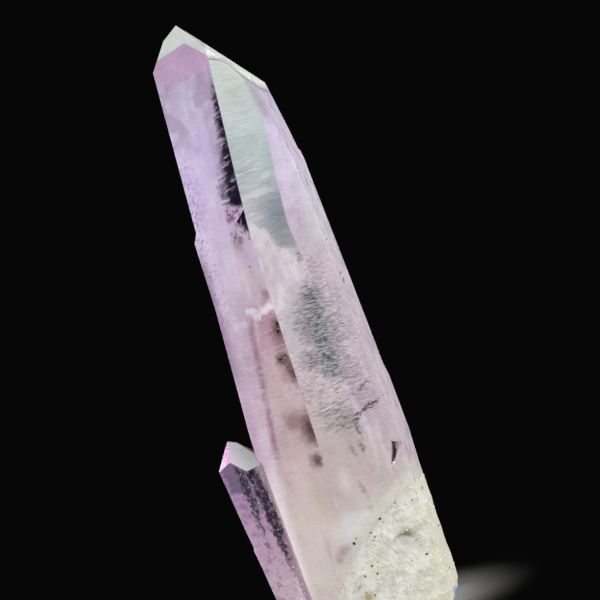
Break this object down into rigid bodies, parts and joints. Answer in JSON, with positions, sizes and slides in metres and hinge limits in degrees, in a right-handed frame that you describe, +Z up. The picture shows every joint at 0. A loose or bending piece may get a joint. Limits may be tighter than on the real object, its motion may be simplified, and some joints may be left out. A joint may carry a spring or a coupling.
{
  "type": "vera cruz amethyst",
  "caption": "Slender tapering pale violet quartz point with a short side crystal, standing on its pale rock matrix.",
  "frame": {"origin": "middle of the bounding box at its bottom, on the rock's flat cut", "axes": "+Z up along the long crystal's axis, -Y the side the picture shows as the front, +X its right, away from the side crystal"},
  "size_m": [0.015, 0.0122, 0.0481],
  "materials": {
    "amethyst": "gloss",
    "matrix_rock": "matte"
  },
  "bodies": {
    "root": {"amethyst_crystals": "amethyst", "matrix_rock": "matrix_rock"}
  },
  "joints": []
}
